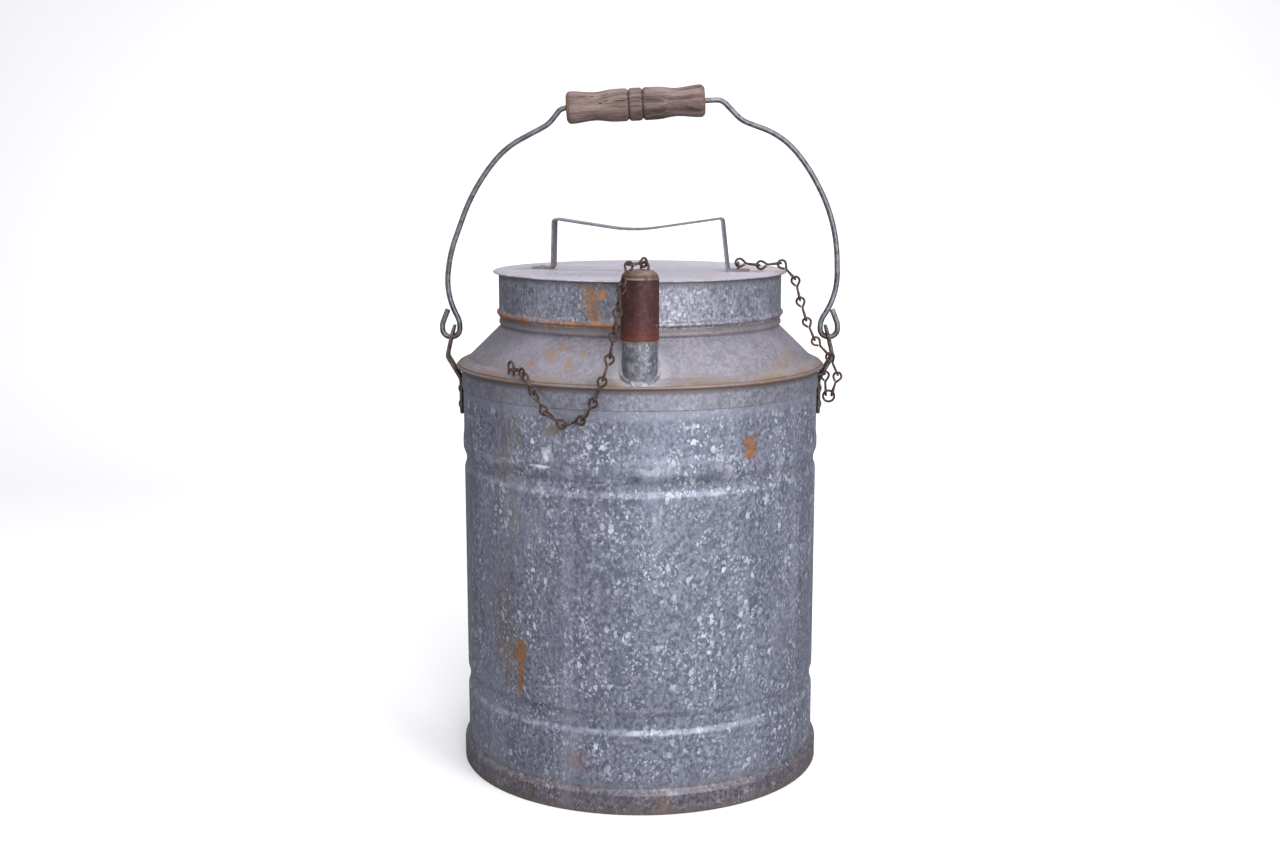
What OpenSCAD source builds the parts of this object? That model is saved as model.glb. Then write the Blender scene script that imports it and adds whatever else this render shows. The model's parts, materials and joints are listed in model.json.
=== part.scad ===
// Galvanised sheet-steel can: slip-on lid, wire bail with a turned grip,
// capped filling spout, and two single-jack keeper chains.
// Millimetres, +Z up, origin at the centre of the foot, spout toward -Y.

/* [Can] */
// Outer radius of the cylindrical wall
body_r = 122.5; // [118:0.5:123]
// Height of the folded seam that joins the shoulder to the wall
seam_z = 280; // [276:1:284]
// Outer radius of the folded seam
seam_r = 127; // [126:0.5:128]
// Thickness of the sheet steel
sheet = 1; // [0.8:0.1:1.2]
// How far the swaged rings are pressed in
swage = 1.4; // [0.6:0.1:1.8]
// Height of the flat foot hoop
foot_h = 17; // [12:1:20]

/* [Neck and lid] */
// Outer radius of the neck that the lid slips over
neck_r = 96; // [92:0.5:96]
// Height of the lid's flat top
lid_z = 344.4; // [340:0.2:346]
// Height of the open top edge of the neck
neck_z = 328; // [322:1:336]
// Radius of the lid's flat top
lid_r = 101; // [99:0.5:101]
// Depth of the lid's skirt
skirt_h = 30; // [24:1:31]

/* [Lid handle] */
// Distance between the legs of the strip handle
handle_span = 122; // [100:1:126]
// Height of the strip handle above the lid
handle_h = 34; // [28:1:38]
// Width of the handle strip
handle_w = 13; // [10:1:14]
// Angle by which the handle is turned on the lid
handle_turn = -10; // [-15:1:15]

/* [Spout] */
// Distance of the spout's axis from the can's axis
spout_y = 113.5; // [113.5:0.5:115]
// Outer radius of the spout tube
spout_r = 11.25; // [10:0.05:11.25]
// Height of the spout's open end, inside its cap
spout_z = 328; // [322:1:340]
// Height of the domed cap's top
cap_z = 353.3; // [350:0.1:355]

/* [Bail and grip] */
// Diameter of the bail wire
bail_d = 3.7; // [3:0.1:4.2]
// Height of the bail's hinge line
hinge_z = 298; // [296:0.5:300]
// Length of the turned grip
grip_l = 94; // [88:1:96]
// Largest diameter of the grip
grip_d = 22; // [20:0.5:24]
// Tilt of the grip on the bent bail
grip_tilt = 3; // [0:0.5:4]
// How far the grip has slid along the bail
grip_shift = -3; // [-3.2:0.2:3.2]

/* [Chains] */
// Diameter of the chain wire
link_d = 1.6; // [1.4:0.1:1.7]
// Mean radius of the loops of a link
link_r = 2.7; // [2.6:0.1:2.9]

/* [Hidden] */
$fn = 96;

// ---- Derived heights and radii
fold_t = 2;
joint_gap = 0.1;
wall_top = seam_z - 1;
fold_top = wall_top + fold_t;
neck_base = 307;
lid_top_z = lid_z;
skirt_top = lid_top_z - sheet;
skirt_in = neck_r + 0.4;
skirt_out = skirt_in + 0.8;
cap_in = spout_r + 0.05;
cap_out = cap_in + 0.6;
cap_low = 309;
cap_high = cap_z - 0.7;
cap_round = 6;

// ---- Single-jack link: two wire loops at right angles, twisted from one length
link_bend = 36;
link_waist = 0.8;
link_gap = 0.2;
back_r = 1.6;
leg_l = (link_r * cos(link_bend) - back_r * (1 - cos(link_bend))) / sin(link_bend);
loop_h = back_r * sin(link_bend) + leg_l * cos(link_bend) + link_r * sin(link_bend);
link_len = 2 * (loop_h + link_r) + link_waist;
pitch = link_len - link_d - link_gap;

// ---- Chain routes: the azimuth and elevation of each link, from its keeper end
cap_chain_start = [3, -spout_y, 357.2];
cap_chain_aims = [[229, -3], [212, -68], [203, -80], [196, -80], [188, -80], [180, -72], [170, -68],
    [155, -56], [153, -17], [161, 33], [150, 53], [135, 51], [121, 3]];
lid_chain_start = [67, -11.8, 350.2];
lid_chain_aims = [[-6, -7], [-6, 6], [-8, -48], [-8, -76], [-8, -72], [-6, -66], [-4, -46],
    [-4, -66], [-4, -106]];
ring_r = 3.8;

// ---- Helpers

// Points of a smooth ramp from [r0, z0] to [r1, z1]
function ramp(r0, z0, r1, z1, n = 6) =
    [for (i = [0:n]) [r0 + (r1 - r0) * (1 - cos(180 * i / n)) / 2, z0 + (z1 - z0) * i / n]];

// Closed outline of a sheet: the outer line and the same line moved in by [dr, dz]
function sheet_outline(line, dr, dz) =
    concat(line, [for (i = [len(line) - 1:-1:0]) line[i] - [dr, dz]]);

// Direction from point a to point b, and an angle brought to within half a turn
function heading(a, b) = atan2(b[1] - a[1], b[0] - a[0]);
function wrap(a) = a > 180 ? a - 360 : (a < -180 ? a + 360 : a);

// Turn at an inner point of a plane route, and the length of wire its bend takes up on each side
function turn(p, i) = i == 0 || i == len(p) - 1 ? 0
    : wrap(heading(p[i], p[i + 1]) - heading(p[i - 1], p[i]));
function tangent(p, i) = p[i][2] * tan(abs(turn(p, i)) / 2);

// Curved part of a sweep along +Z: bends toward +X for a negative turn, -X for a positive one
module elbow(r, a) {
    if (abs(a) > 0.01)
        rotate([0, 0, a > 0 ? 180 : 0])
            translate([r, 0, 0])
                rotate([90, 0, 180])
                    rotate_extrude(angle = abs(a))
                        translate([r, 0])
                            children();
}

// Sweeps a symmetrical section, child 0, along the plane route [[x, z, bend radius], ...].
// Child 1 is the short joint that closes the small gap where a straight meets a bend.
module swept(p) {
    for (i = [0:len(p) - 2]) {
        a = heading(p[i], p[i + 1]);
        l = norm([p[i + 1][0] - p[i][0], p[i + 1][1] - p[i][1]]);
        t0 = tangent(p, i);
        t1 = tangent(p, i + 1);
        g0 = i == 0 ? 0 : joint_gap;
        g1 = i == len(p) - 2 ? 0 : joint_gap;
        translate([p[i][0] + t0 * cos(a), 0, p[i][1] + t0 * sin(a)])
            rotate([0, 90 - a, 0]) {
                translate([0, 0, g0])
                    linear_extrude(l - t0 - t1 - g0 - g1)
                        children(0);
                if (i > 0)
                    children(1);
                if (g1 > 0)
                    translate([0, 0, l - t0 - t1]) {
                        children(1);
                        elbow(p[i + 1][2], turn(p, i + 1))
                            children(0);
                    }
            }
    }
}

// Round wire along a plane route
module wire(p, d) {
    swept(p) {
        circle(d = d, $fn = 24);
        sphere(d = d + 0.06, $fn = 24);
    }
}

// Flat strip along a plane route, t thick and w wide across it
module strip(p, t, w) {
    swept(p) {
        square([t, w], center = true);
        cube([t + 0.04, w + 0.04, 0.5], center = true);
    }
}

// Wire staple with its legs dx apart, standing h high over z = 0
module staple(dx, h, d, low = -2) {
    r = dx / 2 - 0.4;
    wire([[-dx / 2, low, 0], [-dx / 2, h, r], [dx / 2, h, r], [dx / 2, low, 0]], d);
}

// Everything under the outer face of the shoulder
module under_shoulder(lift = 0) {
    rotate_extrude($fn = 180)
        polygon(concat([[0, 255], [seam_r, 255]], [for (p = shoulder_line()) p + [0, lift]],
            [[neck_r, 320], [0, 320]]));
}

function shoulder_line() = [[125.4, fold_top + sheet], [118.7, fold_top + 4.2], [neck_r + 0.2, neck_base]];

// ---- Can body

module body_shell() {
    line = concat([[body_r, 1]],
        ramp(body_r, 52, body_r - swage, 57), ramp(body_r - swage, 64, body_r, 69),
        ramp(body_r, 209, body_r - swage, 214), ramp(body_r - swage, 217, body_r + 0.7, 225),
        ramp(body_r + 0.7, 229, body_r + 0.1, 236), [[body_r + 0.1, wall_top]]);
    color("slategray")
        rotate_extrude($fn = 180)
            polygon(sheet_outline(line, sheet, 0));
}

// Lapped vertical seam at the back of the wall
module side_seam() {
    color("slategray")
        rotate([0, 0, 88])
            for (z = [[foot_h + 1, 50], [71, 207], [238, 262]])
                translate([0, 0, z[0]])
                    rotate_extrude(angle = 4, $fn = 180)
                        translate([body_r + 0.12, 0])
                            square([0.7, z[1] - z[0]]);
}

// Recessed base with its turned-down flange
module base_plate() {
    r = body_r - sheet - 0.02;
    color("dimgray")
        rotate_extrude($fn = 180)
            polygon([[0, 8], [r - 3, 8], [r - sheet - 0.6, 7.4], [r - sheet, 6], [r - sheet, 1],
                [r, 1], [r, 7], [r - 0.8, 8.6], [r - 2.2, 8 + sheet], [0, 8 + sheet]]);
}

// Hoop round the foot, with a flat bearing edge and a rounded shoulder
module foot_hoop() {
    color("slategray")
        rotate_extrude($fn = 180)
            polygon(concat([[body_r + 0.02, 0], [body_r + 2.6, 0], [body_r + 3, 0.5]],
                ramp(body_r + 3, foot_h - 4, body_r + 0.6, foot_h, 5), [[body_r + 0.02, foot_h]]));
}

// Folded seam: a collar over the wall and the projecting fold
module seam_fold() {
    mid = wall_top + fold_t / 2;
    color("gray")
        rotate_extrude($fn = 180)
            union() {
                polygon([[body_r + 0.12, 265], [body_r + 0.9, 265.4], [body_r + 0.9, wall_top],
                    [body_r + 0.9, fold_top], [body_r - sheet, fold_top], [body_r - sheet, wall_top + 0.02],
                    [body_r + 0.12, wall_top + 0.02]]);
                translate([body_r, wall_top])
                    square([seam_r - body_r - 1, fold_t]);
                translate([seam_r - 1, mid])
                    circle(r = fold_t / 2, $fn = 32);
            }
}

// Shoulder cone, drilled under the spout
module shoulder() {
    line = shoulder_line();
    color("silver")
        difference() {
            rotate_extrude($fn = 180)
                polygon(sheet_outline(line, 0, sheet - 0.02));
            translate([0, -spout_y + 1, 270])
                cylinder(r = 8, h = 40);
        }
}

// Neck with its outer bead and rolled top edge
module neck() {
    line = concat([[neck_r, 300]], ramp(neck_r, neck_base + 0.4, neck_r + 1.2, neck_base + 2.4, 4),
        ramp(neck_r + 1.2, neck_base + 3.6, neck_r, neck_base + 5.6, 4), [[neck_r, neck_z]]);
    color("silver")
        rotate_extrude($fn = 180)
            polygon(sheet_outline(line, sheet, 0));
}

module spout_tube() {
    color("lightslategray")
        difference() {
            translate([0, -spout_y, 276])
                cylinder(r = spout_r, h = spout_z - 276);
            translate([0, -spout_y, 270])
                cylinder(r = spout_r - sheet, h = 90);
            under_shoulder();
        }
}

// Collar of solder that follows the slope round the spout
module spout_solder() {
    color("gray")
        difference() {
            intersection() {
                translate([0, -spout_y, fold_top + 0.02])
                    cylinder(r = spout_r + 1.7, h = 32);
                under_shoulder(2);
            }
            translate([0, -spout_y, 270])
                cylinder(r = spout_r + 0.01, h = 60);
            under_shoulder();
            translate([0, 0, 270])
                cylinder(r = neck_r + 1.4, h = 60);
        }
}

// ---- Ears: strip plates riveted to the wall, bowed out over the seam

ear_t = 1.8;
ear_w = 14;
ear_x = body_r + 1.05 + ear_t / 2;
ear_eye_x = 131;

module ear() {
    route = [[ear_x, 244, 0], [ear_x, 269, 6], [133.8, 285, 5], [ear_eye_x - 0.2, hinge_z, 20],
        [128.4, hinge_z + 8.5, 0]];
    color("saddlebrown")
        difference() {
            intersection() {
                strip(route, ear_t, ear_w);
                union() {
                    translate([110, 0, hinge_z + 1.5])
                        rotate([0, 90, 0])
                            cylinder(r = ear_w / 2, h = 40);
                    translate([110, -ear_w / 2, 251])
                        cube([40, ear_w, hinge_z + 1.5 - 251]);
                    translate([110, 0, 251])
                        rotate([0, 90, 0])
                            cylinder(r = ear_w / 2, h = 40);
                }
            }
            translate([110, 0, hinge_z])
                rotate([0, 90, 0])
                    cylinder(r = 3.6, h = 40);
            for (z = rivet_z)
                translate([110, 0, z])
                    rotate([0, 90, 0])
                        cylinder(r = 2, h = 40);
        }
}

rivet_z = [251, 262];

module ear_left() {
    mirror([1, 0, 0])
        ear();
}

module ear_right() {
    ear();
}

// Domed rivets through ear and wall
module ear_rivets() {
    color("dimgray")
        for (side = [0, 180], z = rivet_z)
            rotate([0, 0, side])
                translate([ear_x + ear_t / 2, 0, z])
                    rotate([0, 90, 0])
                        rivet(3.4, 1.6, 1.96, ear_t + 0.93);
}

// Rivet with a domed head of radius r over z = 0 and a shank below it
module rivet(r, h, shank, depth) {
    ball = (r * r + h * h) / (2 * h);
    rotate_extrude($fn = 32)
        polygon(concat([[0, -depth], [shank, -depth], [shank, 0]],
            [for (i = [0:6]) let (a = asin(r / ball) * (1 - i / 6)) [ball * sin(a), ball * cos(a) - ball + h]]));
}

// ---- Lid

module lid_top() {
    color("silver")
        rotate_extrude($fn = 180)
            polygon([[0, skirt_top], [lid_r - 0.5, skirt_top], [lid_r, skirt_top + 0.35],
                [lid_r, lid_top_z - 0.35], [lid_r - 0.5, lid_top_z], [0, lid_top_z]]);
}

// Skirt with its lower bead and a lapped seam
module lid_skirt() {
    low = skirt_top - skirt_h;
    line = concat([[skirt_out, low]], ramp(skirt_out, low + 0.5, skirt_out + 1.6, low + 2.6, 4),
        ramp(skirt_out + 1.6, low + 3.2, skirt_out, low + 5.4, 4), [[skirt_out, skirt_top]]);
    color("slategray") {
        rotate_extrude($fn = 180)
            polygon(sheet_outline(line, skirt_out - skirt_in, 0));
        rotate([0, 0, 229])
            translate([0, 0, low + 6])
                rotate_extrude(angle = 6, $fn = 180)
                    translate([skirt_out - 0.2, 0])
                        square([0.7, skirt_h - 6]);
    }
}

handle_t = 1.4;

module lid_handle() {
    s = handle_span / 2;
    z = lid_top_z + handle_t / 2;
    route = [[-s - 14, z, 0], [-s, z, 2], [-s + 1, z + handle_h, 2], [-4, z + handle_h - 8, 110],
        [s - 4, z + handle_h + 1, 2], [s, z, 2], [s + 14, z, 0]];
    color("gainsboro")
        rotate([0, 0, handle_turn])
            difference() {
                strip(route, handle_t, handle_w);
                translate([-s - 8, 0, lid_top_z - 1])
                    cylinder(r = 1.6, h = 4);
            }
}

module handle_rivet() {
    color("gray")
        rotate([0, 0, handle_turn])
            translate([-handle_span / 2 - 8, 0, lid_top_z + handle_t])
                rivet(2.8, 1.1, 1.56, handle_t);
}

// Staple through the handle's right foot, which holds the lid's chain
module lid_staple() {
    foot = lid_top_z + handle_t;
    color("saddlebrown")
        translate([lid_chain_start[0], lid_chain_start[1], foot])
            rotate([0, 0, 90 + lid_chain_aims[0][0]])
                staple(6, lid_chain_start[2] - foot, link_d, 0);
}

// ---- Cap of the spout

// Wall of the cap from its lower edge round the domed corner, for a wall radius r and top z
function cap_line(r, z) = concat([[r, cap_low]],
    [for (i = [0:6]) [r - cap_round + cap_round * cos(i * 15), z - cap_round + cap_round * sin(i * 15)]]);

module cap_solid() {
    translate([0, -spout_y, 0])
        rotate_extrude()
            polygon(concat(cap_line(cap_out, cap_high), [[0, cap_z], [0, cap_low]]));
}

module cap_shell() {
    inner = cap_line(cap_in, cap_high - 0.7);
    color("sienna")
        translate([0, -spout_y, 0])
            rotate_extrude()
                polygon(concat(cap_line(cap_out, cap_high), [[0, cap_z], [0, cap_z - 0.7]],
                    [for (i = [len(inner) - 1:-1:0]) inner[i]]));
}

// Staple soldered on the cap's top, which holds the cap's chain
module cap_staple() {
    color("sienna")
        difference() {
            translate([cap_chain_start[0], cap_chain_start[1], cap_z])
                rotate([0, 0, 90 + cap_chain_aims[0][0]])
                    staple(6, cap_chain_start[2] - cap_z, link_d, -2);
            cap_solid();
        }
}

// ---- Bail and grip

bail_top = 456.5;

// Plane route of the bail from hook to hook; the hooks pass through the ears
function bail_route() =
    let (c = cos(grip_tilt), k = tan(grip_tilt), h = grip_l / 2, e = ear_eye_x, z = hinge_z)
    [[-e - 2, z + 19, 0], [-e - 6, z + 9, 10], [-e - 6, z, 5.5], [-e + 6, z, 5.5],
        [-e + 6, z + 11, 14], [-134, 327, 50], [-131, 355, 95], [-113.8, 400.5, 130], [-91.6, 427.5, 60],
        [-62, 443, 20], [-h * c - 6.6, bail_top - (h * c + 6.6) * k, 7],
        [h * c + 8.6, bail_top + (h * c + 8.6) * k, 9], [69, 445.5, 20], [97.4, 435.2, 55],
        [115.4, 413.8, 115], [134.9, 377.2, 110], [136.6, 327, 50],
        [e - 6, z + 11, 14], [e - 6, z, 5.5], [e + 6, z, 5.5], [e + 6, z + 9, 10], [e + 2, z + 19, 0]];

module bail() {
    color("dimgray")
        wire(bail_route(), bail_d);
}

// Turned grip: rounded ends, two waists and a bead between grooves
module grip() {
    h = grip_l / 2;
    r = grip_d / 2;
    half = concat([[h, r - 2.6], [h - 0.8, r - 1], [h - 2.6, r]], [for (i = [1:5])
        [h - 2.6 - i * 3.4, r - 0.75 * (1 - cos(i * 36))]],
        [for (i = [1:4]) [h - 19.6 - i * 3.2, r - 0.75 * (1 + cos(i * 45))]],
        [[7, r + 0.1], [5.6, r - 0.4], [4.8, r - 1.5], [4, r - 0.4], [2.8, r + 0.1]]);
    outline = concat([[h, bail_d / 2 + 0.5]], half, [for (i = [len(half) - 1:-1:0]) [-half[i][0], half[i][1]]],
        [[-h, bail_d / 2 + 0.5]]);
    color("rosybrown")
        translate([0, 0, bail_top])
            rotate([0, 90 - grip_tilt, 0])
                translate([0, 0, grip_shift])
                    rotate_extrude()
                        polygon([for (p = outline) [p[1], p[0]]]);
}

// ---- Chains and their staples

// Wire of a link, and the bead that closes the gap where two stretches meet
module link_wire() {
    circle(d = link_d, $fn = 16);
}

module link_bead() {
    sphere(d = link_d + 0.04, $fn = 16);
}

// One half of a link: a teardrop loop rising from the waist, its wire end left open
module link_loop() {
    for (side = [0, 180]) {
        open = side == 180 ? 0.6 : joint_gap;
        translate([0, 0, link_waist / 2])
            rotate([0, 0, side]) {
                if (side == 0) {
                    link_bead();
                    elbow(back_r, link_bend)
                        link_wire();
                }
                translate([-back_r * (1 - cos(link_bend)), 0, back_r * sin(link_bend)])
                    rotate([0, -link_bend, 0]) {
                        if (side == 0)
                            link_bead();
                        translate([0, 0, open])
                            linear_extrude(leg_l - open - joint_gap)
                                link_wire();
                        translate([0, 0, leg_l])
                            link_bead();
                    }
            }
    }
    translate([0, 0, link_waist / 2 + loop_h])
        rotate([90, 0, 0])
            rotate([0, 0, -link_bend])
                rotate_extrude(angle = 180 + 2 * link_bend)
                    translate([link_r, 0])
                        link_wire();
}

// Link along +Z with its lower loop round the origin and its upper loop's wire at the pitch
module chain_link() {
    translate([0, 0, pitch - link_len / 2]) {
        translate([0, 0, joint_gap - link_waist / 2])
            linear_extrude(link_waist - 2 * joint_gap)
                link_wire();
        rotate([0, 0, 90])
            link_loop();
        rotate([180, 0, 0])
            link_loop();
    }
}

function aim(a) = [cos(a[1]) * cos(a[0]), cos(a[1]) * sin(a[0]), sin(a[1])];
function joint_at(start, aims, n) =
    n == 0 ? start : joint_at(start, aims, n - 1) + pitch * aim(aims[n - 1]);

// Link number n of a chain that leaves its start in the directions of aims
module placed_link(start, aims, n) {
    color("saddlebrown")
        translate(joint_at(start, aims, n - 1))
            rotate([0, 90 - aims[n - 1][1], aims[n - 1][0]])
                chain_link();
}

// Ring at the bottom of the lid's chain, and the last link from it up to the eye on the wall
ring_reach = ring_r - link_d - link_gap;
ring_turn = lid_chain_aims[8][0];
ring_centre = joint_at(lid_chain_start, lid_chain_aims, 9) + ring_reach * aim([ring_turn, -165]);
eye_at = ring_centre + ring_reach * aim([ring_turn, -200]) + pitch * aim([ring_turn, -266]);

module chain_ring() {
    color("saddlebrown")
        translate(ring_centre)
            rotate([90, 0, ring_turn])
                rotate_extrude($fn = 48)
                    translate([ring_r, 0])
                        link_wire();
}

// Staple on the shoulder that ends the cap's chain: the last loop lies round its near leg
module shoulder_staple() {
    last = cap_chain_aims[12];
    foot = joint_at(cap_chain_start, cap_chain_aims, 13) - (link_d + link_gap) * aim(last);
    color("saddlebrown")
        difference() {
            translate(foot)
                rotate([0, 0, last[0]])
                    translate([3.6, 0, 0])
                        staple(7.2, 4.6, link_d, -9);
            under_shoulder();
        }
}

// Staple on the wall, under the seam, that ends the lid's chain
module wall_eye() {
    away = norm([eye_at[0], eye_at[1]]);
    color("saddlebrown")
        rotate([0, 0, atan2(eye_at[1], eye_at[0])])
            difference() {
                translate([0, 0, eye_at[2]])
                    rotate([0, 90, 0])
                        rotate([0, 0, 90])
                            staple(8, away, link_d, body_r - 1);
                cylinder(r = body_r + 0.9, h = 400, $fn = 180);
            }
}

body_shell();
side_seam();
base_plate();
foot_hoop();
seam_fold();
shoulder();
neck();
spout_tube();
spout_solder();
ear_left();
ear_right();
ear_rivets();
shoulder_staple();
wall_eye();
lid_top();
lid_skirt();
lid_handle();
handle_rivet();
lid_staple();
cap_shell();
cap_staple();
bail();
grip();
chain_ring();
for (i = [1:13])
    placed_link(cap_chain_start, cap_chain_aims, i);
for (i = [1:9])
    placed_link(lid_chain_start, lid_chain_aims, i);
placed_link(eye_at, [[ring_turn, -86]], 1);  // lid_link_10
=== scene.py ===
import json
import math

import bpy
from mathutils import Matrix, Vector


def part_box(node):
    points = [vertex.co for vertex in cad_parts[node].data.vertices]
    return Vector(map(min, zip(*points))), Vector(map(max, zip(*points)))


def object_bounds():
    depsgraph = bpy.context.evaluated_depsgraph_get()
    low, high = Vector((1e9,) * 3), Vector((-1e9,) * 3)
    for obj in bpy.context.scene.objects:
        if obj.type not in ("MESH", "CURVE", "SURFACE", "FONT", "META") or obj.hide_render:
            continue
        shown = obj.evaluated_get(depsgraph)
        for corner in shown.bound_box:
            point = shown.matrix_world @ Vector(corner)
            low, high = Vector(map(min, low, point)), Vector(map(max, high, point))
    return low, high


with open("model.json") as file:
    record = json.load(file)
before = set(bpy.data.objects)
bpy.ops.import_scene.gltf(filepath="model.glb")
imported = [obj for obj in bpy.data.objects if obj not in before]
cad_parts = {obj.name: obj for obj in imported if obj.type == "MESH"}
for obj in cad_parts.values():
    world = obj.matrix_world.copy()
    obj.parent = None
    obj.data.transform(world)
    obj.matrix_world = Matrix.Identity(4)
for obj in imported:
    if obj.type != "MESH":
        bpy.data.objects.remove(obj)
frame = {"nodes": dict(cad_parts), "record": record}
CAD_LOW, CAD_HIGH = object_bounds()
NODES = frame["nodes"]
SLOT_OF = {s["node"]: s["material_slot"] for s in frame["record"]["subparts"]}


# ---- Small kit for node materials. All lengths are metres in the row frame.

class Mat:
    """A Principled material whose inputs are wired from small procedural helpers."""

    def __init__(self, name, metallic=0.0, roughness=0.5, specular=0.5):
        self.m = bpy.data.materials.new(name)
        self.m.use_nodes = True
        self.tree = self.m.node_tree
        self.shader = self.tree.nodes["Principled BSDF"]
        self.shader.inputs["Metallic"].default_value = metallic
        self.shader.inputs["Roughness"].default_value = roughness
        self.shader.inputs["Specular IOR Level"].default_value = specular
        self.place = self.new("ShaderNodeTexCoord").outputs["Object"]

    def new(self, kind, **props):
        n = self.tree.nodes.new(kind)
        for k, v in props.items():
            setattr(n, k, v)
        return n

    def put(self, socket, value):
        if isinstance(value, bpy.types.NodeSocket):
            self.tree.links.new(value, socket)
        elif isinstance(value, (tuple, list)) and len(value) == 3 and socket.type == "RGBA":
            socket.default_value = (*value, 1)
        else:
            socket.default_value = value

    def math(self, op, a, b=0.0, clamp=False):
        n = self.new("ShaderNodeMath", operation=op, use_clamp=clamp)
        self.put(n.inputs[0], a)
        self.put(n.inputs[1], b)
        return n.outputs[0]

    def times(self, a, b, clamp=False):
        return self.math("MULTIPLY", a, b, clamp)

    def vec(self, op, a, b):
        n = self.new("ShaderNodeVectorMath", operation=op)
        self.put(n.inputs[0], a)
        self.put(n.inputs[1], b)
        return n.outputs["Value" if op in ("LENGTH", "DOT_PRODUCT") else "Vector"]

    def xyz(self):
        n = self.new("ShaderNodeSeparateXYZ")
        self.put(n.inputs[0], self.place)
        return n.outputs

    def noise(self, scale, detail=3.0, rough=0.55, stretch=(1, 1, 1), offset=(0, 0, 0), distort=0.0):
        n = self.new("ShaderNodeTexNoise")
        self.put(n.inputs["Vector"], self.vec("MULTIPLY", self.vec("ADD", self.place, offset), stretch))
        n.inputs["Scale"].default_value = scale
        n.inputs["Detail"].default_value = detail
        n.inputs["Roughness"].default_value = rough
        n.inputs["Distortion"].default_value = distort
        return n.outputs["Fac"]

    def cells(self, scale, stretch=(1, 1, 1), feature="F1", out="Distance", warp=0.0, offset=(0, 0, 0)):
        n = self.new("ShaderNodeTexVoronoi", feature=feature)
        p = self.vec("MULTIPLY", self.vec("ADD", self.place, offset), stretch)
        if warp:
            w = self.new("ShaderNodeTexNoise")
            self.put(w.inputs["Vector"], p)
            w.inputs["Scale"].default_value = scale * 0.9
            w.inputs["Detail"].default_value = 2
            p = self.vec("ADD", p, self.vec("MULTIPLY", w.outputs["Color"], (warp / scale,) * 3))
        self.put(n.inputs["Vector"], p)
        n.inputs["Scale"].default_value = scale
        return n.outputs[out]

    def step(self, value, low, high, to_low=0.0, to_high=1.0):
        """Smooth step of value from low to high."""
        n = self.new("ShaderNodeMapRange", interpolation_type="SMOOTHSTEP", clamp=True)
        self.put(n.inputs["Value"], value)
        for key, v in (("From Min", low), ("From Max", high), ("To Min", to_low), ("To Max", to_high)):
            n.inputs[key].default_value = v
        return n.outputs["Result"]

    def mix(self, share, a, b):
        n = self.new("ShaderNodeMix", data_type="RGBA")
        self.put(n.inputs[0], share)
        self.put(n.inputs[6], a)
        self.put(n.inputs[7], b)
        return n.outputs[2]

    def spot(self, centre, reach, edge=0.45, ragged=0.6, grain=160):
        """Mask of a ragged patch round a point, with its half-sizes along X, Y and Z."""
        d = self.vec("SUBTRACT", self.place, centre)
        d = self.vec("LENGTH", self.vec("DIVIDE", d, reach), (0, 0, 0))
        wobble = self.math("SUBTRACT", self.noise(grain, 4, 0.65), 0.5)
        d = self.math("ADD", d, self.times(wobble, ragged * 2))
        return self.step(d, 1.0, 1.0 - edge)

    def band(self, low, high, soft):
        """Mask of a level band between two heights."""
        z = self.xyz()[2]
        return self.times(self.step(z, low - soft, low + soft), self.step(z, high + soft, high - soft))

    def colour(self, c):
        self.put(self.shader.inputs["Base Color"], c)
        return self

    def rough(self, value):
        self.put(self.shader.inputs["Roughness"], value)
        return self

    def metal(self, value):
        self.put(self.shader.inputs["Metallic"], value)
        return self

    def bump(self, height, depth, strength=1.0):
        n = self.new("ShaderNodeBump")
        n.inputs["Strength"].default_value = strength
        n.inputs["Distance"].default_value = depth
        self.put(n.inputs["Height"], height)
        previous = self.shader.inputs["Normal"]
        if previous.is_linked:
            self.put(n.inputs["Normal"], previous.links[0].from_socket)
        self.put(previous, n.outputs["Normal"])
        return self


def on_wall(azimuth, r, z):
    """Point at an azimuth from the spout's side toward +X."""
    a = math.radians(azimuth)
    return (r * math.sin(a), -r * math.cos(a), z)


WALL_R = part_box("body_shell")[1].x
SEAM_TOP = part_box("seam_fold")[1].z
SEAM_LOW = SEAM_TOP - 0.002
FOOT_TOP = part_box("foot_hoop")[1].z
LID_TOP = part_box("lid_top")[1].z
CAP_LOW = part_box("cap_shell")[0].z
NECK_BEAD = (0.3085, 0.3135)
EAR_HOLE = 0.298
GRIP_TILT = math.radians(3)
SWAGE_EDGES = ((0.0525, 0.0560), (0.0650, 0.0690), (0.2090, 0.2120), (0.2200, 0.2290))
RUST = (0.235, 0.092, 0.030)
TAN = (0.135, 0.100, 0.072)


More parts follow.
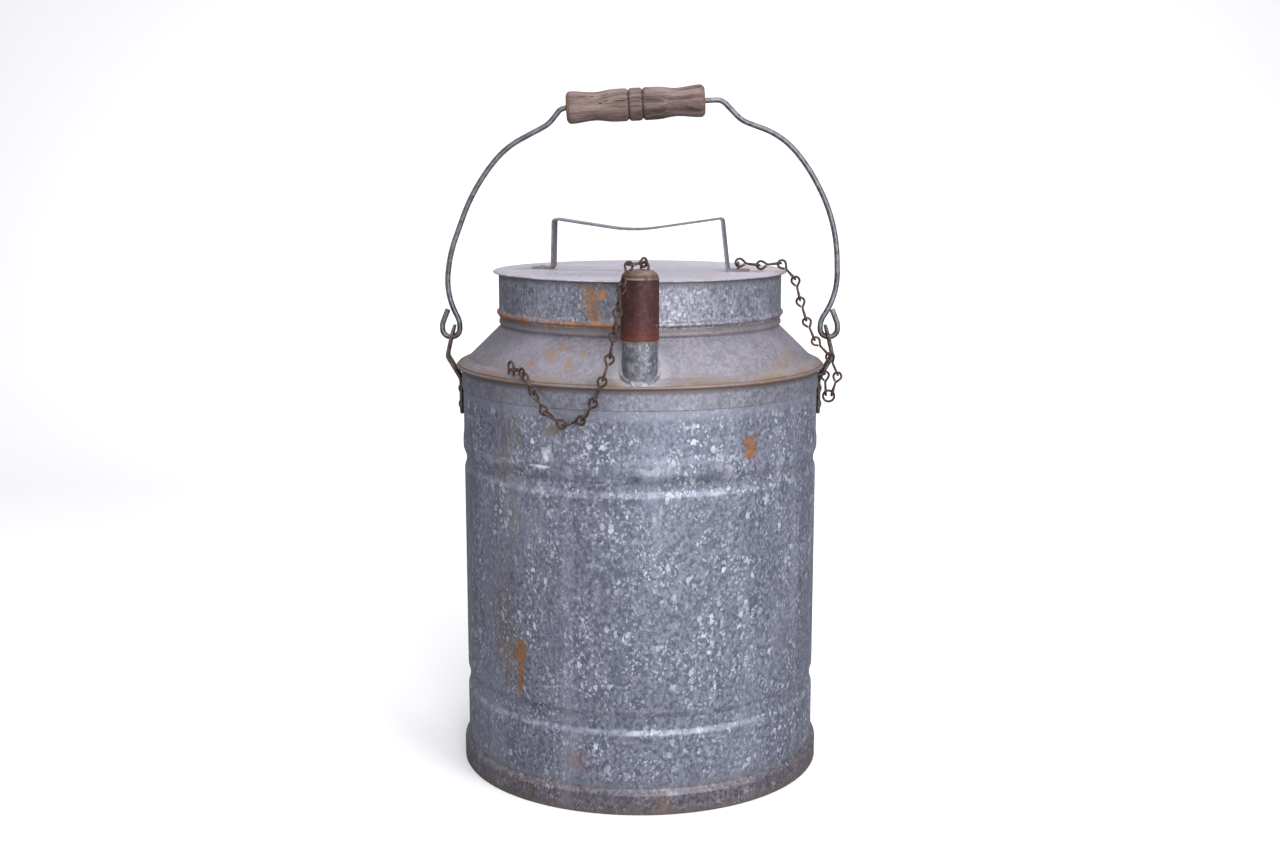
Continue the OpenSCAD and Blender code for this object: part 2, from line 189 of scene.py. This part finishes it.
def zinc(name, dark, mid, light, fleck, fleck_share=0.5, streak=0.35, metallic=0.42, rough=0.46):
    """Weathered hot-dip zinc: mottled ground, pale crystal flecks and faint runs down the wall."""
    m = Mat(name, metallic)
    fine = m.noise(420, 5, 0.66, (1, 1, 0.78))
    patch = m.noise(105, 4, 0.62, (1, 1, 0.6), (1.2, 3.3, 0.8))
    broad = m.noise(20, 4, 0.6, (1, 1, 0.5), (3.1, 0.4, 1.7))
    runs = m.noise(42, 3, 0.55, (1, 1, 0.05), (0.7, 2.3, 0.1))
    ground = m.mix(m.step(fine, 0.38, 0.60), dark, mid)
    ground = m.mix(m.times(m.step(patch, 0.50, 0.34), 0.5), ground, dark)
    ground = m.mix(m.times(m.step(broad, 0.50, 0.74), 0.4), ground, light)
    ground = m.mix(m.times(m.step(runs, 0.54, 0.72), streak), ground, light)
    ground = m.mix(m.times(m.step(runs, 0.46, 0.30), streak), ground, dark)
    dense = m.step(m.noise(48, 4, 0.65, (1, 1, 0.7), (5, 1, 2)), 0.36, 0.64, 0.15, 1.0)
    large = m.cells(400, (1, 1, 0.8), warp=0.6, out="Color")
    large = m.step(large, 0.88 - 0.10 * fleck_share, 1.0 - 0.06 * fleck_share)
    small = m.step(m.cells(760, (1, 1, 0.8), warp=0.6, out="Color", offset=(2, 2, 2)), 0.66, 0.84)
    flecks = m.times(m.math("MAXIMUM", large, m.times(small, 0.62)), dense)
    smear = m.times(m.step(m.noise(165, 4, 0.7, (1, 1, 0.6), (9, 4, 6)), 0.61, 0.72), 0.6)
    white = m.times(m.math("MAXIMUM", flecks, smear), fleck_share, clamp=True)
    m.base = m.mix(white, ground, fleck)
    m.rough(m.math("ADD", m.step(fine, 0.3, 0.7, rough - 0.07, rough + 0.10), m.times(white, 0.12)))
    m.bump(m.noise(14, 2, 0.5, (1, 1, 0.6), (2, 7, 3)), 0.0022, 0.35)
    m.bump(m.math("ADD", fine, m.times(white, 0.5)), 0.00022, 0.55)
    return m


def lay_stain_or_light(m, mask, tone, share=1.0, dull=True):
    """Lays a stain, a pale scuff, a painted shadow or a painted highlight over a zinc material; a dull one
    takes its metallic sheen away.
    """
    m.base = m.mix(m.times(mask, share, clamp=True), m.base, tone)
    if dull:
        m.dull = m.math("MAXIMUM", getattr(m, "dull", 0.0), m.times(mask, share), clamp=True)


def seal(m):
    """Wires the ground, with its stains and its painted light and shade, into the shader; stains are less
    metallic.
    """
    m.colour(m.base)
    if hasattr(m, "dull"):
        start = m.shader.inputs["Metallic"].default_value
        m.metal(m.times(m.math("SUBTRACT", 1.0, m.dull), start))
    return m.m


def rust_spot(m, where, reach, share=0.95, grain=160):
    """Orange rust broken by darker brown, with a tan fringe."""
    wide = tuple(v * 1.6 for v in reach)
    lay_stain_or_light(m, m.spot(where, wide, 0.7, 0.8, grain), TAN, share * 0.55)
    tone = m.mix(m.step(m.noise(340, 5, 0.72, offset=(5, 5, 2)), 0.42, 0.60), RUST, (0.105, 0.052, 0.030))
    lay_stain_or_light(m, m.spot(where, reach, 0.45, 1.1, grain), tone, share)


DARK, MID = (0.088, 0.096, 0.132), (0.190, 0.198, 0.262)
LIGHT, FLECK = (0.30, 0.31, 0.39), (0.62, 0.64, 0.72)


def make_body():
    m = zinc("BodyZinc", DARK, MID, LIGHT, FLECK, 0.85)
    smooth = m.band(SEAM_LOW - 0.020, SEAM_LOW, 0.004)
    lay_stain_or_light(m, smooth, (0.235, 0.238, 0.30), 0.62, dull=False)
    lay_stain_or_light(m, m.band(0, FOOT_TOP + 0.004, 0.003), (0.105, 0.105, 0.12), 0.6)
    rust_spot(m, on_wall(35, WALL_R, 0.2385), (0.006, 0.006, 0.0085))
    rust_spot(m, on_wall(-40, WALL_R, 0.101), (0.007, 0.007, 0.0075))
    rust_spot(m, on_wall(-40, WALL_R, 0.086), (0.0042, 0.0042, 0.015), 0.9)
    lay_stain_or_light(m, m.spot(on_wall(-45, WALL_R, 0.100), (0.011, 0.011, 0.034), 0.9, 1.1, 110), TAN, 0.6)
    drip = m.step(m.noise(75, 4, 0.65, (1, 1, 0.12), (3, 1, 1)), 0.36, 0.60)
    for az, z, wide, tall, share in ((-46, 0.205, 0.017, 0.075, 0.9), (-43, 0.245, 0.011, 0.035, 0.8),
                                     (-49, 0.130, 0.015, 0.07, 0.7)):
        run = m.spot(on_wall(az, WALL_R, z), (wide, wide, tall), 0.95, 1.0, 90)
        lay_stain_or_light(m, m.times(run, drip), (0.115, 0.082, 0.052), share)
    lay_stain_or_light(m, m.spot(on_wall(-27, WALL_R, 0.251), (0.013, 0.013, 0.006), 0.7, 0.9), (0.13, 0.082, 0.05), 0.6)
    lay_stain_or_light(m, m.spot(on_wall(-18, WALL_R, 0.266), (0.015, 0.015, 0.008), 0.8, 0.9), TAN, 0.45)
    lay_stain_or_light(m, m.spot(on_wall(-20, WALL_R, 0.034), (0.014, 0.014, 0.010), 0.9, 1.3), (0.17, 0.082, 0.062), 0.4)
    scratch = m.spot(on_wall(-31, WALL_R, 0.2270), (0.0100, 0.0100, 0.0013), 0.8, 1.0, 260)
    lay_stain_or_light(m, scratch, (0.72, 0.74, 0.81), 0.8, dull=False)
    scuff = m.spot(on_wall(-29, WALL_R, 0.236), (0.0042, 0.0042, 0.0085), 0.9, 1.3, 240)
    lay_stain_or_light(m, scuff, (0.66, 0.68, 0.76), 0.7, dull=False)
    for az, z, wide, tall in ((150, 0.09, 0.012, 0.02), (205, 0.19, 0.008, 0.03),
                              (118, 0.245, 0.010, 0.02), (250, 0.06, 0.006, 0.012)):
        lay_stain_or_light(m, m.spot(on_wall(az, WALL_R, z), (wide, wide, tall), 0.8, 0.9), TAN, 0.55)
    rust_spot(m, on_wall(172, WALL_R, 0.225), (0.005, 0.005, 0.008), 0.85)
    # Painted highlight: a pale band along each swage edge, broken up by noise.
    for low, high in SWAGE_EDGES:
        highlight_breaks = m.step(m.noise(95, 4, 0.6, offset=(1, 8, 2)), 0.45, 0.68)
        edge = m.times(m.band(low, high, 0.0008), highlight_breaks)
        lay_stain_or_light(m, edge, (0.44, 0.45, 0.53), 0.4, dull=False)
    return seal(m)


def make_foot():
    m = zinc("FootZinc", (0.072, 0.064, 0.078), (0.142, 0.125, 0.152), (0.235, 0.21, 0.25), FLECK, 0.42)
    lay_stain_or_light(m, m.band(-0.01, 0.0035, 0.002), (0.085, 0.065, 0.05), 0.7)
    ring = m.times(m.band(0, 0.017, 0.001), m.step(m.noise(30, 5, 0.7, (1, 1, 0.6)), 0.55, 0.72))
    lay_stain_or_light(m, ring, (0.135, 0.078, 0.045), 0.6)
    return seal(m)


def make_base():
    m = zinc("BaseZinc", (0.06, 0.065, 0.075), (0.13, 0.14, 0.16), (0.2, 0.2, 0.22), (0.4, 0.42, 0.45), 0.35)
    lay_stain_or_light(m, m.step(m.noise(24, 5, 0.7), 0.52, 0.70), (0.14, 0.075, 0.035), 0.75)
    return seal(m)


def make_seam():
    m = zinc("SeamZinc", (0.125, 0.125, 0.155), (0.215, 0.214, 0.262), (0.30, 0.295, 0.36),
             (0.52, 0.53, 0.60), 0.3)
    # Painted shadow: a dark band under the seam's hem.
    lay_stain_or_light(m, m.band(SEAM_LOW - 0.0035, SEAM_LOW + 0.0008, 0.0012), (0.075, 0.065, 0.065), 0.8)
    rust = m.step(m.noise(38, 5, 0.65), 0.30, 0.62, 0.35, 1)
    lay_stain_or_light(m, m.times(m.band(SEAM_LOW - 0.0012, SEAM_TOP + 0.004, 0.0008), rust), (0.135, 0.078, 0.048), 0.85)
    bright = m.step(m.noise(55, 4, 0.6, offset=(4, 1, 7)), 0.55, 0.7)
    lay_stain_or_light(m, m.times(m.band(SEAM_LOW, SEAM_TOP, 0.001), bright), RUST, 0.5)
    return seal(m)


def make_shoulder():
    m = zinc("ShoulderZinc", (0.146, 0.138, 0.166), (0.226, 0.212, 0.256), (0.298, 0.280, 0.336),
             (0.5, 0.48, 0.55), 0.22, 0.25, 0.45, 0.52)
    z = m.xyz()[2]
    low = m.step(z, SEAM_TOP + 0.012, SEAM_TOP)
    tan = m.times(low, m.step(m.noise(28, 5, 0.65, offset=(6, 2, 1)), 0.36, 0.66))
    lay_stain_or_light(m, tan, (0.165, 0.118, 0.082), 0.72)
    edge = m.times(m.step(z, SEAM_TOP + 0.004, SEAM_TOP + 0.0005), m.step(m.noise(46, 5, 0.6), 0.38, 0.6))
    lay_stain_or_light(m, edge, (0.15, 0.085, 0.045), 0.8)
    lay_stain_or_light(m, m.step(m.noise(34, 4, 0.6, offset=(2, 9, 5)), 0.58, 0.74), (0.195, 0.152, 0.125), 0.5)
    for az, r, zz, tall, wide in ((-32, 0.107, 0.297, 0.010, 0.006), (-29, 0.101, 0.303, 0.008, 0.004),
                                  (-24, 0.111, 0.292, 0.009, 0.005), (-20, 0.105, 0.298, 0.008, 0.003),
                                  (-38, 0.113, 0.29, 0.006, 0.006)):
        lay_stain_or_light(m, m.spot(on_wall(az, r, zz), (wide, tall, tall), 0.8, 1.0), (0.20, 0.115, 0.060), 0.6)
    for az, r, zz in ((52, 0.115, 0.289), (62, 0.112, 0.292), (-62, 0.112, 0.292), (140, 0.112, 0.291),
                      (210, 0.114, 0.29)):
        lay_stain_or_light(m, m.spot(on_wall(az, r, zz), (0.012, 0.012, 0.008), 0.9, 0.9), (0.175, 0.118, 0.078), 0.55)
    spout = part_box("spout_tube")
    centre = ((spout[0].x + spout[1].x) / 2, (spout[0].y + spout[1].y) / 2, spout[0].z)
    d = m.vec("LENGTH", m.vec("MULTIPLY", m.vec("SUBTRACT", m.place, centre), (1, 1, 0)), (0, 0, 0))
    lay_stain_or_light(m, m.step(d, 0.021, 0.013), (0.36, 0.345, 0.37), 0.5, dull=False)
    lay_stain_or_light(m, m.band(*NECK_BEAD, 0.0009), (0.12, 0.09, 0.075), 0.5)
    return seal(m)


def make_lid():
    # Ground colours about twice as light as the body's zinc: painted light from above on the lid's top, over
    # the zinc's own mottling.
    m = zinc("LidZincLitFromAbove", (0.275, 0.258, 0.302), (0.385, 0.358, 0.42), (0.48, 0.45, 0.525), (0.62, 0.59, 0.66),
             0.2, 0.0, 0.45, 0.5)
    lay_stain_or_light(m, m.step(m.noise(17, 5, 0.65, offset=(1, 3, 0)), 0.53, 0.72), (0.30, 0.25, 0.22), 0.6)
    lay_stain_or_light(m, m.step(m.noise(70, 4, 0.7, offset=(8, 3, 0)), 0.66, 0.76), (0.115, 0.075, 0.05), 0.55)
    p = m.vec("MULTIPLY", m.place, (1, 1, 0))
    r = m.vec("LENGTH", p, (0, 0, 0))
    rim = m.times(m.step(r, 0.0975, 0.1002), m.step(m.noise(60, 4, 0.6), 0.36, 0.62))
    lay_stain_or_light(m, rim, (0.105, 0.085, 0.08), 0.6)
    for x, y in ((-0.075, 0.013), (0.072, -0.013), (0.0, -0.085)):
        lay_stain_or_light(m, m.spot((x, y, LID_TOP), (0.020, 0.015, 0.02), 0.9, 0.9, 90), (0.15, 0.105, 0.075), 0.6)
    scratch = m.cells(22, (1, 0.12, 1), feature="DISTANCE_TO_EDGE", warp=0.05, offset=(3, 1, 0))
    lay_stain_or_light(m, m.step(scratch, 0.006, 0.0), (0.60, 0.58, 0.64), 0.3, dull=False)
    return seal(m)


def make_skirt():
    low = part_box("lid_skirt")[0].z
    m = zinc("SkirtZinc", (0.092, 0.096, 0.126), (0.215, 0.216, 0.270), (0.34, 0.335, 0.40),
             (0.62, 0.63, 0.70), 0.75, 0.3)
    side = m.step(m.xyz()[0], 0.004, -0.012, 0.12, 1.0)
    front = m.step(m.xyz()[1], 0.03, -0.03, 0.35, 1.0)
    where = m.times(side, front)
    bead = m.times(m.band(low - 0.002, low + 0.0045, 0.0012), m.step(m.noise(44, 5, 0.65), 0.30, 0.56))
    patchy = m.step(m.noise(150, 5, 0.7, offset=(2, 6, 1)), 0.40, 0.62)
    tone = m.mix(patchy, (0.335, 0.150, 0.058), (0.150, 0.072, 0.040))
    lay_stain_or_light(m, m.times(bead, where), tone, 1.0)
    grime = m.step(m.noise(30, 5, 0.65, offset=(1, 1, 5)), 0.35, 0.6)
    lay_stain_or_light(m, m.times(m.band(low - 0.002, low + 0.0012, 0.0006), grime), (0.10, 0.06, 0.04), 0.75)
    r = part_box("lid_skirt")[1].x
    for az, rise, wide, tall in ((-18.8, 0.018, 0.006, 0.013), (-14.5, 0.022, 0.005, 0.0045),
                                 (-20.5, 0.027, 0.006, 0.003), (-17.5, 0.008, 0.0055, 0.006)):
        lay_stain_or_light(m, m.spot(on_wall(az, r, low + rise), (wide, wide, tall), 0.5, 0.9, 220), tone, 0.92)
    halo = m.spot(on_wall(-18, r, low + 0.016), (0.011, 0.011, 0.016), 0.9, 1.0)
    lay_stain_or_light(m, halo, (0.165, 0.105, 0.066), 0.5)
    # Painted shadow: a dark band at the top of the skirt, under the lid's rim.
    lay_stain_or_light(m, m.band(LID_TOP - 0.0045, LID_TOP, 0.0016), (0.085, 0.085, 0.095), 0.7)
    return seal(m)


def make_spout():
    m = zinc("SpoutZinc", (0.070, 0.075, 0.090), (0.150, 0.156, 0.188), (0.22, 0.225, 0.27),
             (0.58, 0.6, 0.66), 0.55, 0.3)
    lay_stain_or_light(m, m.step(m.xyz()[2], CAP_LOW - 0.004, CAP_LOW + 0.002), (0.11, 0.055, 0.035), 0.8)
    lay_stain_or_light(m, m.spot((-0.006, -0.125, 0.292), (0.004, 0.006, 0.006), 0.7, 0.8), (0.30, 0.26, 0.22), 0.45)
    return seal(m)


def make_solder():
    m = zinc("Solder", (0.16, 0.155, 0.17), (0.27, 0.262, 0.285), (0.36, 0.35, 0.37), (0.52, 0.51, 0.54),
             0.3, 0.0, 0.6, 0.42)
    m.bump(m.noise(210, 3, 0.5), 0.0012, 0.8)
    lay_stain_or_light(m, m.step(m.noise(120, 3, 0.6), 0.58, 0.7), (0.18, 0.14, 0.11), 0.6)
    return seal(m)


def make_rusty(name, dark, mid, bright, share=0.35, metallic=0.25):
    """Rusted iron wire: brown scale, darker pits and orange bloom."""
    m = Mat(name, metallic)
    scale = m.noise(420, 5, 0.65)
    bloom = m.noise(130, 4, 0.65, offset=(4, 4, 1))
    c = m.mix(m.step(scale, 0.34, 0.62), dark, mid)
    c = m.mix(m.times(m.step(bloom, 0.50, 0.66), share), c, bright)
    grey = m.times(m.step(m.noise(260, 3, 0.6, offset=(9, 0, 3)), 0.62, 0.72), 0.45)
    m.colour(m.mix(grey, c, (0.21, 0.19, 0.185)))
    m.rough(m.step(scale, 0.3, 0.7, 0.80, 0.58))
    m.bump(m.math("ADD", scale, m.cells(900, warp=0.3)), 0.00035, 0.9)
    return m.m


def make_cap():
    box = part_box("cap_shell")
    m = Mat("CapRust", 0.2, specular=0.3)
    broad = m.noise(70, 5, 0.62, (1, 1, 0.6))
    fine = m.noise(420, 4, 0.65)
    z = m.xyz()[2]
    c = m.mix(m.step(broad, 0.36, 0.62), (0.026, 0.0085, 0.0095), (0.053, 0.0165, 0.0170))
    c = m.mix(m.times(m.step(fine, 0.50, 0.68), 0.4), c, (0.095, 0.045, 0.040))
    redder = m.times(m.step(z, box[0].z + 0.012, box[0].z + 0.001), m.step(broad, 0.35, 0.6, 0.4, 1))
    c = m.mix(m.times(redder, 0.75), c, (0.125, 0.031, 0.022))
    top = m.step(z, box[1].z - 0.0065, box[1].z - 0.002)
    c = m.mix(m.times(top, m.step(fine, 0.32, 0.6, 0.45, 0.95)), c, (0.150, 0.100, 0.078))
    # Painted highlight: a pale line along the cap's rounded top edge, broken up by noise.
    edge_highlight = m.times(m.band(box[1].z - 0.0064, box[1].z - 0.0052, 0.0004), m.step(m.noise(90, 3), 0.40, 0.58))
    c = m.mix(m.times(edge_highlight, 0.7), c, (0.26, 0.20, 0.17))
    line = m.times(m.band(box[0].z + 0.0035, box[0].z + 0.0045, 0.0005), 0.55)
    c = m.mix(line, c, (0.035, 0.018, 0.016))
    dots = m.step(m.noise(230, 3, 0.6, offset=(2, 5, 5)), 0.68, 0.74)
    c = m.mix(m.times(dots, 0.6), c, (0.27, 0.25, 0.25))
    m.colour(c)
    m.rough(m.step(fine, 0.3, 0.7, 0.70, 0.52))
    m.bump(m.math("ADD", broad, m.times(fine, 0.6)), 0.0005, 0.7)
    return m.m


def make_handle():
    m = zinc("HandleZinc", (0.115, 0.112, 0.132), (0.190, 0.184, 0.215), (0.26, 0.25, 0.295),
             (0.42, 0.41, 0.46), 0.22, 0.1, 0.6, 0.45)
    feet = m.times(m.step(m.xyz()[2], LID_TOP + 0.010, LID_TOP), m.step(m.noise(120, 4), 0.38, 0.6))
    lay_stain_or_light(m, feet, (0.125, 0.078, 0.05), 0.7)
    lay_stain_or_light(m, m.step(m.noise(75, 4, 0.65, offset=(3, 3, 9)), 0.62, 0.74), (0.125, 0.085, 0.062), 0.5)
    return seal(m)


def make_bail():
    m = Mat("BailSteel", 0.75)
    fine = m.noise(300, 4, 0.62)
    broad = m.noise(48, 4, 0.6, offset=(2, 2, 2))
    c = m.mix(m.step(fine, 0.35, 0.65), (0.075, 0.077, 0.086), (0.165, 0.168, 0.186))
    c = m.mix(m.times(m.step(broad, 0.56, 0.72), 0.6), c, (0.25, 0.25, 0.27))
    rust = m.times(m.step(m.noise(64, 4, 0.65, offset=(7, 1, 4)), 0.56, 0.70), 0.55)
    low = m.times(m.step(m.xyz()[2], EAR_HOLE + 0.010, EAR_HOLE - 0.002), 0.6)
    m.colour(m.mix(m.math("MAXIMUM", rust, low), c, (0.13, 0.078, 0.052)))
    m.rough(m.step(fine, 0.3, 0.7, 0.36, 0.55))
    m.bump(fine, 0.00016, 0.7)
    return m.m


def make_wood():
    """Weathered turned wood: grain along the grip, open pores, grime in the grooves."""
    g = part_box("grip")
    centre = (g[0] + g[1]) / 2
    m = Mat("GripWood", 0.0, 0.7, 0.35)
    local = m.new("ShaderNodeMapping", vector_type="TEXTURE")
    m.put(local.inputs["Vector"], m.place)
    local.inputs["Location"].default_value = centre
    local.inputs["Rotation"].default_value = (0, -GRIP_TILT, 0)
    m.place = local.outputs["Vector"]
    grain = m.noise(260, 5, 0.62, (0.075, 1, 1), (0.4, 0.2, 0.9), 0.6)
    fibre = m.noise(900, 4, 0.6, (0.045, 1, 1), (0.1, 0.7, 0.3))
    broad = m.noise(55, 4, 0.6, (0.5, 1, 1), (2, 1, 3))
    c = m.mix(m.step(grain, 0.32, 0.64), (0.043, 0.028, 0.026), (0.145, 0.096, 0.088))
    c = m.mix(m.times(m.step(broad, 0.44, 0.68), 0.7), c, (0.225, 0.158, 0.150))
    c = m.mix(m.times(m.step(fibre, 0.54, 0.66), 0.45), c, (0.30, 0.225, 0.20))
    cracks = m.step(m.noise(210, 3, 0.7, (0.05, 1, 1), (3, 9, 4)), 0.645, 0.70)
    pits = m.step(m.cells(260, (0.35, 1, 1), warp=0.3), 0.13, 0.07)
    pits = m.times(pits, m.step(m.noise(70, 3, offset=(4, 1, 1)), 0.46, 0.60))
    dark = m.math("MAXIMUM", cracks, pits, clamp=True)
    c = m.mix(m.times(dark, 0.85), c, (0.017, 0.011, 0.009))
    x = m.math("ABSOLUTE", m.xyz()[0])
    groove = m.times(m.step(x, 0.0034, 0.0044), m.step(x, 0.0060, 0.0050))
    c = m.mix(m.times(groove, 0.45), c, (0.035, 0.022, 0.017))
    ends = m.step(x, 0.0435, 0.0462)
    c = m.mix(m.times(ends, 0.55), c, (0.15, 0.075, 0.05))
    m.colour(c)
    m.rough(m.step(grain, 0.3, 0.7, 0.82, 0.60))
    relief = m.math("SUBTRACT", m.math("ADD", grain, m.times(fibre, 0.5)), m.times(dark, 1.8))
    m.bump(relief, 0.0014, 1.0)
    return m.m


EAR_TONES = ((0.045, 0.036, 0.034), (0.120, 0.096, 0.088), (0.19, 0.115, 0.072))
CHAIN_TONES = ((0.019, 0.0115, 0.0105), (0.060, 0.033, 0.025), (0.150, 0.068, 0.034))
MAKE = {
    "body_zinc": make_body,
    "base_zinc": make_base,
    "foot_zinc": make_foot,
    "seam_zinc": make_seam,
    "shoulder_zinc": make_shoulder,
    "spout_zinc": make_spout,
    "solder": make_solder,
    "ear_iron": lambda: make_rusty("EarIron", *EAR_TONES, 0.4, 0.45),
    "chain_iron": lambda: make_rusty("ChainIron", *CHAIN_TONES, 0.5),
    "lid_zinc": make_lid,
    "skirt_zinc": make_skirt,
    "handle_steel": make_handle,
    "cap_rust": make_cap,
    "bail_steel": make_bail,
    "grip_wood": make_wood,
}
MATERIALS = {name: make() for name, make in MAKE.items()}
for node, obj in NODES.items():
    obj.data.materials.clear()
    obj.data.materials.append(MATERIALS[SLOT_OF[node]])


# ---- Floor, light and camera

def stage_material():
    m = Mat("StagePaper", 0.0, 0.9, 0.1)
    paper = m.noise(3.0, 2, 0.5)
    seen = m.new("ShaderNodeLightPath").outputs["Is Camera Ray"]
    # Painted shade: camera rays see the pale paper, all other rays a dark grey that darkens the can's
    # reflections and edges.
    m.colour(m.mix(seen, (0.18, 0.18, 0.195), m.mix(paper, (0.74, 0.74, 0.75), (0.77, 0.77, 0.78))))
    return m.m


def sweep():
    """A floor, pale to the camera and dark grey in reflections and bounced light, that curves up behind the
    can into a backdrop.
    """
    front, curve_start, curve_r, top, half_width = -3.0, 0.9, 0.8, 3.6, 3.5
    rows = [(front, 0.0), (curve_start, 0.0)]
    for a in range(9, 91, 9):
        a = math.radians(a)
        rows.append((curve_start + curve_r * math.sin(a), curve_r - curve_r * math.cos(a)))
    rows.append((curve_start + curve_r, top))
    verts = [(x, y, z) for y, z in rows for x in (-half_width, half_width)]
    faces = [(2 * i, 2 * i + 1, 2 * i + 3, 2 * i + 2) for i in range(len(rows) - 1)]
    mesh = bpy.data.meshes.new("StageSweep")
    mesh.from_pydata(verts, [], faces)
    mesh.polygons.foreach_set("use_smooth", [True] * len(faces))
    mesh.materials.append(stage_material())
    o = bpy.data.objects.new("StageSweep", mesh)
    bpy.context.scene.collection.objects.link(o)


def soft_light(name, where, toward, size, watts, tint=(1, 1, 1)):
    data = bpy.data.lights.new(name, "AREA")
    data.shape = "RECTANGLE"
    data.size, data.size_y = size
    data.energy = watts
    data.color = tint
    o = bpy.data.objects.new(name, data)
    bpy.context.scene.collection.objects.link(o)
    o.location = where
    o.rotation_mode = "QUATERNION"
    o.rotation_quaternion = (Vector(toward) - Vector(where)).to_track_quat("-Z", "Y")


sweep()
middle = (CAD_LOW + CAD_HIGH) / 2
soft_light("SoftRight", (1.05, -1.25, 0.85), middle, (0.7, 1.4), 24)
soft_light("SoftLeft", (-1.55, -0.75, 0.65), middle, (0.4, 1.4), 5.5)
soft_light("SoftFront", (0.22, -1.75, 0.80), middle, (0.6, 1.1), 24)
soft_light("SoftTop", (0.15, -0.35, 1.9), middle, (1.5, 1.5), 19)
soft_light("SoftBack", (0.25, 1.45, 1.35), middle, (0.9, 0.6), 4)
soft_light("SoftBackdrop", (0.0, 0.75, 2.2), (0, 1.5, 0.3), (3.0, 0.8), 34)

world = bpy.data.worlds.new("Studio")
bpy.context.scene.world = world
bpy.context.scene.view_settings.view_transform = "Standard"
world.use_nodes = True
world.node_tree.nodes["Background"].inputs["Color"].default_value = (0.93, 0.95, 1.0, 1)
sky = world.node_tree.nodes["Background"].inputs["Strength"]
seen = world.node_tree.nodes.new("ShaderNodeLightPath").outputs["Is Camera Ray"]
glow = world.node_tree.nodes.new("ShaderNodeMapRange")
world.node_tree.links.new(seen, glow.inputs["Value"])
glow.inputs["To Min"].default_value, glow.inputs["To Max"].default_value = 0.38, 0.88
world.node_tree.links.new(glow.outputs["Result"], sky)

camera = bpy.data.objects.new("Camera", bpy.data.cameras.new("Camera"))
bpy.context.scene.collection.objects.link(camera)
bpy.context.scene.camera = camera
camera.data.sensor_width = 36
camera.data.lens = 45
camera.location = (0.0, -1.106, 0.4244)
camera.rotation_mode = "QUATERNION"
camera.rotation_quaternion = (Vector((0.0, middle.y, middle.z)) - camera.location).to_track_quat("-Z", "Y")
camera.data.clip_start, camera.data.clip_end = 0.05, 50
